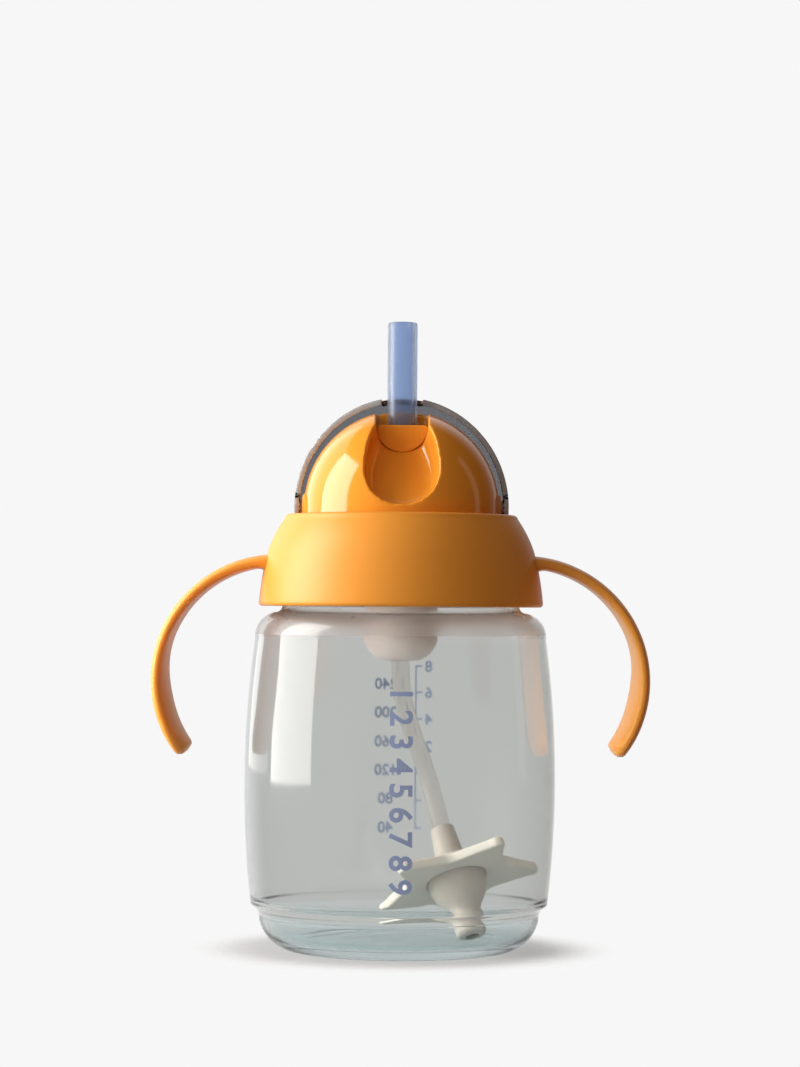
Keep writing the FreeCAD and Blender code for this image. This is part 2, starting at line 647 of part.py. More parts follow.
# corners of the lower tube's route, from the bowl down to its seat in the sleeve
TUBE_ROUTE = (
    (0.0, 0.0, 71.85), (0.0, 0.0, 64.6), (2.4, 3.1, 55.6), (6.6, 5.2, 44.5), (9.625, 0.952, 33.683),
    (11.909, -3.222, 25.808))


def make_tube():
    """Soft tube from the valve bowl to the weight: straight runs joined by tangent arcs."""
    corners = [V(*corner) for corner in TUBE_ROUTE]
    edges = []
    here = corners[0]
    for before, corner, after in zip(corners, corners[1:], corners[2:]):
        back, on = (before - corner), (after - corner)
        turn = math.pi - back.getAngle(on)
        reach = 0.45 * min(back.Length, on.Length)
        radius = reach / math.tan(turn / 2)
        print(f"tube corner {corner.z:.1f}: arc radius {radius:.1f} mm, turn {math.degrees(turn):.1f} degrees")
        enter = corner + back.normalize() * reach
        leave = corner + on.normalize() * reach
        centre = corner + (back + on).normalize() * (radius / math.cos(turn / 2))
        middle = centre + (corner - centre).normalize() * radius
        edges.append(Part.LineSegment(here, enter).toShape())
        edges.append(Part.Arc(enter, middle, leave).toShape())
        here = leave
    edges.append(Part.LineSegment(here, corners[-1]).toShape())
    path = Part.Wire(edges)
    start = (corners[1] - corners[0]).normalize()
    solids = []
    for radius in (size("tube_r"), size("tube_bore_r")):
        ring = Part.Wire(Part.makeCircle(radius, corners[0], start))
        solids.append(path.makePipeShell([ring], True, False))
    feature = doc.addObject("Part::Feature", "lower_tube")
    feature.Shape = solids[0].cut(solids[1])
    section = math.pi * (size("tube_r") ** 2 - size("tube_bore_r") ** 2)
    print(f"tube length {path.Length:.2f} mm, volume {feature.Shape.Volume:.2f}"
          f" against {section * path.Length:.2f} mm3")
    return feature


# --------------------------------------------------------------------------- build, check, write
handle_left, handle_right = make_handles()
straw_stem, straw_tip = make_straw()
lid_gasket, valve_bowl, slit_valve, air_vent_valve = make_small_parts()
weight_sleeve, weight_bulb, steel_weight = make_weight()
parts = {
    "bottle": make_bottle(), "collar": make_collar(), "handle_left": handle_left,
    "handle_right": handle_right, "dome": make_dome(), "straw_saddle": make_saddle(),
    "visor": make_visor(), "straw_stem": straw_stem, "straw_tip": straw_tip,
    "valve_plate": make_valve_plate(), "lid_gasket": lid_gasket, "valve_bowl": valve_bowl,
    "slit_valve": slit_valve, "air_vent_valve": air_vent_valve, "lower_tube": make_tube(),
    "weight_sleeve": weight_sleeve, "star_grip": make_star(), "weight_bulb": weight_bulb,
    "steel_weight": steel_weight,
}
doc.recompute()
for item in doc.Objects:
    faults = {"Invalid", "Error"} & set(item.State)
    if faults:
        raise RuntimeError(f"{item.Name} is {sorted(faults)}")
for name, item in parts.items():
    shape = item.Shape
    if shape.isNull() or not shape.isValid() or len(shape.Solids) != 1:
        raise RuntimeError(f"{name}: null, invalid or {len(shape.Solids)} solids")
    shape.exportStep(f"parts/{name}.step")
    box = shape.BoundBox
    print(f"{name:16s} volume {shape.Volume:9.1f}  x {box.XMin:7.2f} {box.XMax:7.2f}"
          f"  y {box.YMin:7.2f} {box.YMax:7.2f}  z {box.ZMin:7.2f} {box.ZMax:7.2f}")
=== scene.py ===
"""Looks of a toddler's straw cup: clear bottle, satin collar with two handles, glossy dome.

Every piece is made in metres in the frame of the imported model, and sizes are written in
millimetres. +Z is up, the front faces -Y, and the cup stands on Z = 0.
"""
import logging
import math
from dataclasses import dataclass
from enum import Enum
from typing import Callable, Optional, Union

import bpy
import numpy as np
from mathutils import Matrix, Vector


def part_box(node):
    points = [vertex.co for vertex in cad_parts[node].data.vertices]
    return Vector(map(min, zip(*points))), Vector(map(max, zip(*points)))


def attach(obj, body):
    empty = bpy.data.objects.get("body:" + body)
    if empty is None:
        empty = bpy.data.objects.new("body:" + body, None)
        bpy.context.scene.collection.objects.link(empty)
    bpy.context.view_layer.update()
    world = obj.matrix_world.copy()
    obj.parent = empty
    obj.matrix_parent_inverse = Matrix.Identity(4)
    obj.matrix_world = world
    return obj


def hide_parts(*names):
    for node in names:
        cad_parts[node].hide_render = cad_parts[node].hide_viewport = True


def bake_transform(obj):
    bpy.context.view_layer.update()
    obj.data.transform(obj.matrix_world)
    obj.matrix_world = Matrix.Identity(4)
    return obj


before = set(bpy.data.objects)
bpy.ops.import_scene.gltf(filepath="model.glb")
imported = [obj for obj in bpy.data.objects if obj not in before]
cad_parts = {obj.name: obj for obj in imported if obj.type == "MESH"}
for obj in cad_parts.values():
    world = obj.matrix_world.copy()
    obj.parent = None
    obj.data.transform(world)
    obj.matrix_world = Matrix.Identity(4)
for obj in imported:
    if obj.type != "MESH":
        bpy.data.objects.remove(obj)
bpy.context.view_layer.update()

MM = 0.001
Point = tuple[float, float]
Point3 = tuple[float, float, float]
Colour = tuple[float, float, float, float]
Mixed = Union[Colour, bpy.types.NodeSocket]
log = logging.getLogger("straw_cup")


# ------------------------------------------------------------------ small tools
def deselect() -> None:
    """Leaves edit mode and deselects every object."""
    if bpy.context.object is not None and bpy.context.object.mode != "OBJECT":
        bpy.ops.object.mode_set(mode="OBJECT")
    bpy.ops.object.select_all(action="DESELECT")


def choose(piece: bpy.types.Object) -> None:
    """Selects one object alone and makes it active."""
    deselect()
    piece.select_set(True)
    bpy.context.view_layer.objects.active = piece


def linear(code: str, alpha: float = 1.0) -> Colour:
    """Turns an sRGB hex colour to linear.

    Args:
        code: Six hex digits after a hash.
        alpha: The fourth value.

    Returns:
        Red, green, blue and alpha.
    """
    parts = [int(code[i:i + 2], 16) / 255 for i in (1, 3, 5)]
    return (*[c / 12.92 if c <= 0.04045 else ((c + 0.055) / 1.055) ** 2.4 for c in parts], alpha)


def add_node(tree: bpy.types.NodeTree, kind: str, settings: Optional[dict] = None,
             links: Optional[dict] = None) -> bpy.types.Node:
    """Adds one node with its settings and links.

    Args:
        tree: The node tree.
        kind: The node's type name.
        settings: Values by the name of a property, or by the name or number of an input.
        links: Output sockets by the name or number of the input that they feed.

    Returns:
        The new node.
    """
    node = tree.nodes.new(kind)
    for key, value in (settings or {}).items():
        if isinstance(key, int) or key in node.inputs:
            node.inputs[key].default_value = value
        else:
            setattr(node, key, value)
    for key, socket in (links or {}).items():
        tree.links.new(socket, node.inputs[key])
    return node


def ramp(tree: bpy.types.NodeTree, value: bpy.types.NodeSocket, span: Point,
         to: Point = (0.0, 1.0), soft: bool = False) -> bpy.types.NodeSocket:
    """Maps one range of a value to another.

    Args:
        tree: The node tree.
        value: The socket that gives the value.
        span: The ends of the range that it comes from.
        to: What those ends become.
        soft: Whether it eases in and out.

    Returns:
        The socket with the result.
    """
    settings = {"interpolation_type": "SMOOTHSTEP" if soft else "LINEAR",
                "From Min": span[0], "From Max": span[1], "To Min": to[0], "To Max": to[1]}
    return add_node(tree, "ShaderNodeMapRange", settings, {"Value": value}).outputs["Result"]


def mix(tree: bpy.types.NodeTree, share: bpy.types.NodeSocket, first: Mixed,
        second: Mixed) -> bpy.types.NodeSocket:
    """Mixes two colours.

    Args:
        tree: The node tree.
        share: The socket that gives how much of the second there is.
        first: A colour or the socket that gives it.
        second: A colour or the socket that gives it.

    Returns:
        The socket with the mixed colour.
    """
    ends = {6: first, 7: second}
    links = {key: end for key, end in ends.items() if isinstance(end, bpy.types.NodeSocket)}
    settings = {key: end for key, end in ends.items() if key not in links}
    return add_node(tree, "ShaderNodeMix", {"data_type": "RGBA", **settings}, {0: share, **links}).outputs[2]


def start_finish(name: str, values: dict) -> tuple[bpy.types.Material, bpy.types.Node]:
    """Begins a node material.

    Args:
        name: The material's name.
        values: What the shader's own sockets hold, by name.

    Returns:
        The new material and its Principled shader.
    """
    made = bpy.data.materials.new(name)
    made.use_nodes = True
    shader = next(n for n in made.node_tree.nodes if n.type == "BSDF_PRINCIPLED")
    for socket, value in values.items():
        shader.inputs[socket].default_value = value
    return made, shader


def link_in(name: str, data: bpy.types.ID) -> bpy.types.Object:
    """A new object in the scene that holds the data."""
    made = bpy.data.objects.new(name, data)
    bpy.context.scene.collection.objects.link(made)
    return made


def facing(place: Vector, aim: Vector) -> Matrix:
    """Placement of a camera or lamp that looks at a point, both in metres."""
    return Matrix.Translation(place) @ (aim - place).to_track_quat("-Z", "Y").to_matrix().to_4x4()


def arc(start: Point, via: Point, end: Point, count: int = 10) -> list[Point]:
    """Points along the circle through three points.

    Args:
        start: Where the arc begins, left out of the result.
        via: A point that it passes.
        end: Where it stops, kept in the result.
        count: How many points.

    Returns:
        The points in order.
    """
    (ax, ay), (bx, by), (cx, cy) = start, via, end
    square_a, square_b, square_c = ax * ax + ay * ay, bx * bx + by * by, cx * cx + cy * cy
    twice = 2 * (ax * (by - cy) + bx * (cy - ay) + cx * (ay - by))
    ux = (square_a * (by - cy) + square_b * (cy - ay) + square_c * (ay - by)) / twice
    uy = (square_a * (cx - bx) + square_b * (ax - cx) + square_c * (bx - ax)) / twice
    radius = math.hypot(ax - ux, ay - uy)
    first, middle, last = (math.atan2(y - uy, x - ux) for x, y in (start, via, end))
    sweep = (last - first) % math.tau
    if (middle - first) % math.tau > sweep:
        sweep -= math.tau
    angles = [first + sweep * (i + 1) / count for i in range(count)]
    return [(ux + radius * math.cos(a), uy + radius * math.sin(a)) for a in angles]


def edit(piece: bpy.types.Object) -> None:
    """Opens the piece in edit mode with all of it selected."""
    choose(piece)
    bpy.ops.object.mode_set(mode="EDIT")
    bpy.ops.mesh.select_all(action="SELECT")


def start_mesh(name: str) -> bpy.types.Object:
    """A plane melted down to one vertex at the origin, left in edit mode and selected."""
    deselect()
    bpy.ops.mesh.primitive_plane_add(size=2 * MM)
    piece = bpy.context.object
    piece.name = piece.data.name = name
    bpy.ops.object.mode_set(mode="EDIT")
    bpy.ops.mesh.select_mode(type="VERT")
    bpy.ops.mesh.select_all(action="SELECT")
    bpy.ops.mesh.merge(type="CENTER")
    return piece


def draw(points: list[Vector]) -> None:
    """Extrudes the one vertex of the mesh in edit mode along the points, in metres."""
    bpy.ops.transform.translate(value=points[0])
    for here, there in zip(points, points[1:]):
        bpy.ops.mesh.extrude_vertices_move(TRANSFORM_OT_translate={"value": there - here})
    bpy.ops.mesh.select_all(action="SELECT")


def close_up() -> None:
    """Merges doubles, turns faces outwards and leaves edit mode."""
    bpy.ops.mesh.select_all(action="SELECT")
    bpy.ops.mesh.remove_doubles(threshold=0.002 * MM)
    bpy.ops.mesh.normals_make_consistent(inside=False)
    bpy.ops.object.mode_set(mode="OBJECT")


def turned(name: str, profile: list[Point], steps: int = 144) -> bpy.types.Object:
    """A mesh turned right round the Z axis.

    Args:
        name: The piece's name.
        profile: Radius and height of each corner, in millimetres; the last meets the first.
        steps: How many steps the turn has.

    Returns:
        The closed mesh.
    """
    piece = start_mesh(name)
    draw([Vector((r * MM, 0, z * MM)) for r, z in profile])
    bpy.ops.mesh.spin(steps=steps, angle=math.tau, center=(0, 0, 0), axis=(0, 0, 1))
    close_up()
    return piece


def apply_modifier(piece: bpy.types.Object, kind: str, **settings) -> None:
    """Adds one modifier to the piece and applies it."""
    choose(piece)
    modifier = piece.modifiers.new(kind.title(), kind)
    for key, value in settings.items():
        setattr(modifier, key, value)
    bpy.ops.object.modifier_apply(modifier=modifier.name)


def smooth(piece: bpy.types.Object, angle: float = 40.0) -> None:
    """Shades the piece smooth, with creases sharper than the angle in degrees."""
    choose(piece)
    bpy.ops.object.shade_smooth_by_angle(angle=math.radians(angle))


def reshape(piece: bpy.types.Object, move: Callable[[np.ndarray], np.ndarray]) -> None:
    """Moves every vertex by a function of the whole array of places, in millimetres."""
    flat = np.empty(len(piece.data.vertices) * 3)
    piece.data.vertices.foreach_get("co", flat)
    moved = move(flat.reshape(-1, 3) / MM) * MM
    piece.data.vertices.foreach_set("co", moved.ravel())
    piece.data.update()


def copy_of(node: str, name: str) -> bpy.types.Object:
    """A free copy of a CAD node's mesh, its doubles merged, in place."""
    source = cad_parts[node]
    mesh = source.data.copy()
    mesh.transform(source.matrix_world)
    mesh.materials.clear()
    piece = link_in(name, mesh)
    edit(piece)
    bpy.ops.mesh.remove_doubles(threshold=0.002 * MM)
    bpy.ops.object.mode_set(mode="OBJECT")
    return piece


def soften(piece: bpy.types.Object, voxel: float, passes: int) -> None:
    """Remeshes a closed piece at the voxel size in millimetres and rounds it off."""
    apply_modifier(piece, "REMESH", mode="VOXEL", voxel_size=voxel * MM, adaptivity=0.0)
    apply_modifier(piece, "SMOOTH", factor=0.5, iterations=passes)


def unite(piece: bpy.types.Object, *others: bpy.types.Object) -> bpy.types.Object:
    """Joins other meshes into the piece."""
    choose(piece)
    for other in others:
        other.select_set(True)
    bpy.ops.object.join()
    return piece


def dress(piece: bpy.types.Object, material: bpy.types.Material) -> None:
    """Gives the whole piece one material."""
    piece.data.materials.clear()
    piece.data.materials.append(material)


def report(piece: bpy.types.Object) -> None:
    """Logs a finished piece and how many faces it has."""
    log.info("%s, %d faces", piece.name, len(piece.data.polygons))


# ------------------------------------------------------------------ finishes
class Grain(Enum):
    """Surface left by the tool that a part was moulded in."""

    POLISHED = "polished"
    SATIN = "satin"
    VELVET = "velvet"


@dataclass(frozen=True)
class Moulding:
    """An opaque or milky moulded plastic or rubber.

    Spots of colour a few tens of millimetres across are the mixed-in pigment, and the fine
    bump is the texture of the mould's wall.
    """

    name: str
    colour: str
    deep_colour: str
    roughness: float
    grain: Grain
    ior: float = 1.49
    glow: float = 0.0
    glow_mm: float = 1.5
    clear: float = 0.0
    coat: float = 0.0
    spread: Point3 = (1.0, 0.55, 0.3)

    def material(self) -> bpy.types.Material:
        """The finish as a node material.

        Returns:
            The new material, or the one already made under this name.
        """
        if self.name in bpy.data.materials:
            return bpy.data.materials[self.name]
        made, shader = start_finish(self.name, {
            "IOR": self.ior, "Subsurface Weight": self.glow, "Subsurface Radius": self.spread,
            "Subsurface Scale": self.glow_mm * MM, "Transmission Weight": self.clear,
            "Coat Weight": self.coat, "Coat Roughness": 0.06})
        tree = made.node_tree
        place = add_node(tree, "ShaderNodeTexCoord").outputs["Object"]
        # pigment clouds about 25 mm across
        cloud = add_node(tree, "ShaderNodeTexNoise", {"Scale": 40.0, "Detail": 3.0}, {"Vector": place})
        tint = mix(tree, cloud.outputs["Fac"], linear(self.colour), linear(self.deep_colour))
        tree.links.new(tint, shader.inputs["Base Color"])
        # mould grain: satin is sparked to about 0.25 mm, drawn at 0.4 mm so that it shows
        scale, depth, sway = {Grain.POLISHED: (350.0, 0.0006, 0.02), Grain.SATIN: (2500.0, 0.006, 0.06),
                              Grain.VELVET: (1800.0, 0.008, 0.08)}[self.grain]
        grain = add_node(tree, "ShaderNodeTexNoise", {"Scale": scale, "Detail": 2.0}, {"Vector": place})
        rough = ramp(tree, grain.outputs["Fac"], (0.3, 0.7),
                     (self.roughness - sway / 2, self.roughness + sway / 2))
        tree.links.new(rough, shader.inputs["Roughness"])
        bump = add_node(tree, "ShaderNodeBump", {"Strength": 1.0, "Distance": depth * MM},
                        {"Height": grain.outputs["Fac"]})
        tree.links.new(bump.outputs["Normal"], shader.inputs["Normal"])
        return made


@dataclass(frozen=True)
class ClearPlastic:
    """A see-through moulded or blown plastic that lets lamps through.

    The low colour is what a thick foot shows, and the upper colour a thin wall. The shine is
    how much of a hard gloss skin lies over it.
    """

    name: str
    colour: str
    low_colour: str
    low_top: float
    roughness: float
    ior: float
    shadow: str
    shine: float = 0.0

    def material(self) -> bpy.types.Material:
        """The finish as a node material.

        Returns:
            The new material, or the one already made under this name.
        """
        if self.name in bpy.data.materials:
            return bpy.data.materials[self.name]
        made, shader = start_finish(self.name, {
            "Transmission Weight": 1.0, "IOR": self.ior, "Coat Weight": self.shine, "Coat Roughness": 0.05})
        tree = made.node_tree
        output = next(n for n in tree.nodes if n.type == "OUTPUT_MATERIAL")
        place = add_node(tree, "ShaderNodeTexCoord").outputs["Object"]
        height = add_node(tree, "ShaderNodeSeparateXYZ", {}, {"Vector": place}).outputs["Z"]
        depth = ramp(tree, height, (0.0, self.low_top * MM), soft=True)
        tint = mix(tree, depth, linear(self.low_colour), linear(self.colour))
        tree.links.new(tint, shader.inputs["Base Color"])
        # flow marks of the melt, about 12 mm long, blur the wall by turns
        flow = add_node(tree, "ShaderNodeTexNoise", {"Scale": 85.0, "Detail": 1.0}, {"Vector": place})
        rough = ramp(tree, flow.outputs["Fac"], (0.3, 0.7), (self.roughness * 0.8, self.roughness * 1.2))
        tree.links.new(rough, shader.inputs["Roughness"])
        # lamps shine through the wall, dimmed by its colour
        passing = add_node(tree, "ShaderNodeBsdfTransparent", {"Color": linear(self.shadow)})
        path = add_node(tree, "ShaderNodeLightPath")
        choice = add_node(tree, "ShaderNodeMixShader", {}, {
            0: path.outputs["Is Shadow Ray"], 1: shader.outputs["BSDF"], 2: passing.outputs["BSDF"]})
        tree.links.new(choice.outputs["Shader"], output.inputs["Surface"])
        return made


@dataclass(frozen=True)
class Metal:
    """Turned bare steel: fine rings round the piece's own leaning axis."""

    name: str
    colour: str
    roughness: float

    def material(self) -> bpy.types.Material:
        """The finish as a node material.

        Returns:
            The new material.
        """
        made, shader = start_finish(self.name, {"Metallic": 1.0, "Base Color": linear(self.colour)})
        tree = made.node_tree
        place = add_node(tree, "ShaderNodeTexCoord").outputs["Object"]
        # tool marks about 0.3 mm apart
        rings = add_node(tree, "ShaderNodeTexWave",
                         {"bands_direction": "Z", "Scale": 500.0, "Distortion": 0.6}, {"Vector": place})
        rough = ramp(tree, rings.outputs["Fac"], (0.0, 1.0), (self.roughness - 0.06, self.roughness + 0.06))
        tree.links.new(rough, shader.inputs["Roughness"])
        return made


# polypropylene off a spark-eroded mould: soft broad sheen, no clear reflections
SATIN_COLLAR = Moulding("polypropylene_satin_moulded", "#F4A33E", "#F09C35", 0.42, Grain.SATIN, glow=0.06)
# the same plastic, its orange painted a little paler as painted light, and glowing more where it is thin
# enough to let light bleed through
SATIN_STRAP_PAINTED_LIGHT = Moulding("polypropylene_satin_strap_painted_light", "#F6AA4A", "#F3A441", 0.42, Grain.SATIN,
                       glow=0.45, glow_mm=3.0)
# polypropylene off a polished mould: sharp reflections like wet paint
GLOSS_DOME = Moulding("polypropylene_polished_moulded", "#F4A038", "#F19930", 0.11, Grain.POLISHED,
                      ior=1.5, glow=0.06, coat=0.1)
# blown copolyester: clear with a grey cast, blue-green where the foot is thick
CLEAR_BOTTLE = ClearPlastic("copolyester_blown", "#F5F6F5", "#E2EEF0", low_top=13.0, roughness=0.07,
                            ior=1.31, shadow="#F8F8F7", shine=0.42)
# the same where it pooled in the foot band, cloudier, with soft edges
CLEAR_FOOT = ClearPlastic("copolyester_blown_foot", "#F8FBFB", "#E2EFF0", low_top=9.0, roughness=0.12,
                          ior=1.07, shadow="#F5F8F8", shine=0.2)
# the same at the shoulder, where a wavy thick wall blurs what is behind
CLEAR_SHOULDER = ClearPlastic("copolyester_blown_shoulder", "#F8F5F3", "#F8F5F3", low_top=1.0, roughness=0.3,
                              ior=1.34, shadow="#F8F8F7", shine=0.5)
# smoke-tinted polycarbonate, polished: a grey veil over the dome behind it
SMOKE_VISOR = ClearPlastic("polycarbonate_smoke_polished", "#8C8E94", "#8C8E94", low_top=1.0, roughness=0.03,
                           ior=1.58, shadow="#BCBEC2")
# its cut rim, painted paler than the visor as painted light for what it gathers from the whole wall, with a
# little real glow
SMOKE_RIM_PAINTED_LIGHT = Moulding("polycarbonate_smoke_rim_painted_light", "#BFC5CC", "#B7BDC5", 0.25, Grain.POLISHED,
                     ior=1.58, glow=0.2, glow_mm=2.0, clear=0.15)
# blue silicone off a polished mould: see-through, with a soft highlight
BLUE_STRAW = Moulding("silicone_blue_moulded", "#D4E3FE", "#CDDEFC", 0.24, Grain.POLISHED,
                      ior=1.35, glow=0.5, glow_mm=5.0, clear=0.94, spread=(0.6, 0.8, 1.0))
# undyed silicone in a blasted mould: milky
MILKY_BOWL = Moulding("silicone_milky_moulded", "#F6EBE6", "#F0E2DD", 0.3, Grain.SATIN,
                      ior=1.42, glow=0.35, glow_mm=3.0, clear=0.15)
# undyed silicone drawn as a tube: nearly clear
CLEAR_TUBE = Moulding("silicone_clear_extruded", "#F1EFEC", "#EBE8E4", 0.2, Grain.POLISHED,
                      ior=1.42, glow=0.1, glow_mm=3.0, clear=0.85)
# cream polypropylene off a spark-eroded mould: soft and dull
CREAM_WEIGHT = Moulding("polypropylene_cream_moulded", "#C6C1BA", "#BFBAB3", 0.42, Grain.SATIN, glow=0.15)
# cream silicone in a blasted mould: softer still
CREAM_STAR = Moulding("silicone_cream_moulded", "#E2E0D8", "#DBD9D1", 0.48, Grain.VELVET,
                      ior=1.42, glow=0.2, glow_mm=2.0)
# pad-printed ink: flat, a little rough, and thinner on the back
BLUE_INK = Moulding("ink_blue_printed", "#94A7D4", "#9CAED8", 0.5, Grain.SATIN)
PALE_INK = Moulding("ink_blue_thin_printed", "#8FA3CC", "#98ABD2", 0.5, Grain.SATIN)
# steel turned on a lathe: fine rings that stretch its highlights
TURNED_STEEL = Metal("steel_turned", "#B4B4B8", 0.3)


# ------------------------------------------------------------------ studio
@dataclass
class Studio:
    """Camera, lamps, world and floor; the camera's places are in millimetres."""

    camera_x: float = -0.35
    camera_y: float = -780.0
    camera_z: float = 85.4
    aim_z: float = 103.75
    lens: float = 105.0
    roll: float = 0.4
    backdrop: str = "#F7F7F7"
    # what glossy surfaces mirror: the dark room in front, and the sweep behind, dimmer on the right
    mirror_front: Colour = (0.03, 0.02, 0.013, 1)
    mirror_rear: Colour = (0.95, 0.95, 0.95, 1)
    mirror_right: Colour = (0.2, 0.17, 0.15, 1)
    # the room's own soft light from the left and from the right
    room_left: Colour = (0.34, 0.33, 0.31, 1)
    room_right: Colour = (0.12, 0.068, 0.04, 1)
    # what shows through clear pieces, on the left and on the right
    through_left: Colour = (0.66, 0.67, 0.67, 1)
    through_right: Colour = (0.52, 0.52, 0.51, 1)
    # the floor's disc, where it fades out, and the painted shade under the cup, in metres
    paper: str = "#949496"
    floor_r: float = 0.6
    fade: Point = (0.036, 0.056)
    painted_shade: Point = (0.03, 0.062)
    painted_shade_glow: Point = (0.3, 0.68)

    def camera(self) -> None:
        """Sets a long lens level with the lid's middle, rolled a little."""
        data = bpy.data.cameras.new("camera")
        data.sensor_fit = "VERTICAL"
        data.sensor_height = 36.0
        data.lens = self.lens
        data.clip_start = 0.01
        data.clip_end = 10.0
        holder = link_in("camera", data)
        eye = Vector((self.camera_x, self.camera_y, self.camera_z)) * MM
        aim = Vector((self.camera_x, 0, self.aim_z)) * MM
        holder.matrix_world = facing(eye, aim) @ Matrix.Rotation(math.radians(self.roll), 4, "Z")
        bpy.context.scene.camera = holder

    def lamp(self, name: str, place: Point3, aim: Point3, wide: float, tall: float, power: float,
             colour: str, seen: bool) -> None:
        """One rectangular soft lamp.

        Args:
            name: The lamp's name.
            place: Its middle, in metres.
            aim: The point that it faces, in metres.
            wide: Its width in metres.
            tall: Its height in metres.
            power: Its power in watts.
            colour: Its colour as sRGB hex.
            seen: Whether glossy surfaces reflect it.
        """
        data = bpy.data.lights.new(name, "AREA")
        data.shape = "RECTANGLE"
        data.size = wide
        data.size_y = tall
        data.energy = power
        data.color = linear(colour)[:3]
        holder = link_in(name, data)
        holder.matrix_world = facing(Vector(place), Vector(aim))
        holder.visible_camera = False
        holder.visible_glossy = seen
        holder.visible_transmission = False

    def lamps(self) -> None:
        """A tall window-like box on the left, weak panels behind it and on the right, and two fills."""
        lid = (0.0, 0.0, 0.1)
        self.lamp("window", place=(-0.62, -0.04, 0.36), aim=(0.0, -0.04, 0.36), wide=0.46, tall=0.7,
                  power=7.9, colour="#FFFCF6", seen=True)
        self.lamp("side_wall", place=(-0.5, 0.42, 0.34), aim=lid, wide=0.5, tall=0.7,
                  power=1.3, colour="#FFFCF6", seen=True)
        self.lamp("right_strip", place=(0.62, 0.1, 0.3), aim=lid, wide=0.1, tall=0.6,
                  power=0.1, colour="#FFE8D2", seen=True)
        self.lamp("front_fill", place=(-0.45, -0.8, 0.6), aim=lid, wide=0.7, tall=0.7,
                  power=1.9, colour="#FFEEDC", seen=False)
        self.lamp("left_fill", place=(-0.7, -0.5, 0.04), aim=(0.0, 0.0, 0.06), wide=0.5, tall=0.5,
                  power=2.4, colour="#FFF6EC", seen=False)

    def world(self) -> None:
        """Pale backdrop for what looks past the cup, and a darker room around it."""
        world = bpy.data.worlds.new("studio")
        bpy.context.scene.world = world
        world.use_nodes = True
        tree = world.node_tree
        tree.nodes.clear()
        way = add_node(tree, "ShaderNodeTexCoord").outputs["Generated"]
        split = add_node(tree, "ShaderNodeSeparateXYZ", {}, {"Vector": way})
        path = add_node(tree, "ShaderNodeLightPath")
        off = ramp(tree, split.outputs["X"], (0.15, 0.7))
        sweep = mix(tree, off, self.mirror_rear, self.mirror_right)
        rear = ramp(tree, split.outputs["Y"], (0.45, 0.8), soft=True)
        mirror = mix(tree, rear, self.mirror_front, sweep)
        side = ramp(tree, split.outputs["X"], (-1.0, 1.0))
        room = mix(tree, side, self.room_left, self.room_right)
        glossy = mix(tree, path.outputs["Is Glossy Ray"], room, mirror)
        lean = ramp(tree, split.outputs["X"], (-0.3, 0.3))
        pale = mix(tree, lean, self.through_left, self.through_right)
        # what clear pieces mirror inside themselves is the pale backdrop too
        inner = add_node(tree, "ShaderNodeMath", {"operation": "GREATER_THAN", 1: 0.5},
                         {0: path.outputs["Transmission Depth"]})
        inner_gloss = add_node(tree, "ShaderNodeMath", {"operation": "MULTIPLY"},
                               {0: inner.outputs[0], 1: path.outputs["Is Glossy Ray"]})
        through = add_node(tree, "ShaderNodeMath", {"operation": "MAXIMUM"},
                           {0: path.outputs["Is Transmission Ray"], 1: inner_gloss.outputs[0]})
        glass = mix(tree, through.outputs[0], glossy, pale)
        seen = mix(tree, path.outputs["Is Camera Ray"], glass, linear(self.backdrop))
        light = add_node(tree, "ShaderNodeBackground", {"Strength": 1.0}, {"Color": seen})
        output = add_node(tree, "ShaderNodeOutputWorld")
        tree.links.new(light.outputs["Background"], output.inputs["Surface"])

    def floor(self) -> None:
        """A pale round floor that fades into the backdrop away from the cup."""
        deselect()
        bpy.ops.mesh.primitive_circle_add(vertices=96, radius=self.floor_r, fill_type="NGON")
        floor = bpy.context.object
        floor.name = "floor"
        edit(floor)
        bpy.ops.mesh.inset(thickness=self.floor_r / 2)
        bpy.ops.object.mode_set(mode="OBJECT")
        made = bpy.data.materials.new("paper_floor")
        made.use_nodes = True
        tree = made.node_tree
        tree.nodes.clear()
        place = add_node(tree, "ShaderNodeTexCoord").outputs["Object"]
        away = add_node(tree, "ShaderNodeVectorMath", {"operation": "LENGTH"}, {0: place}).outputs["Value"]
        fade = ramp(tree, away, self.fade, soft=True)
        # painted shade: the floor's glow is dimmed close to the cup, where the belly hangs over the paper
        painted_shade = ramp(tree, away, self.painted_shade, self.painted_shade_glow, soft=True)
        paper = add_node(tree, "ShaderNodeBsdfDiffuse", {"Color": linear(self.paper)})
        lift = add_node(tree, "ShaderNodeEmission", {"Color": (1, 1, 1, 1)}, {"Strength": painted_shade})
        both = add_node(tree, "ShaderNodeAddShader", {}, {0: paper.outputs[0], 1: lift.outputs[0]})
        clear = add_node(tree, "ShaderNodeBsdfTransparent")
        faded = add_node(tree, "ShaderNodeMixShader", {}, {0: fade, 1: both.outputs[0], 2: clear.outputs[0]})
        output = add_node(tree, "ShaderNodeOutputMaterial")
        tree.links.new(faded.outputs[0], output.inputs["Surface"])
        dress(floor, made)

    def build(self) -> None:
        """Sets up the whole studio."""
        scene = bpy.context.scene
        scene.view_settings.view_transform = "Standard"
        self.camera()
        self.lamps()
        self.world()
        self.floor()


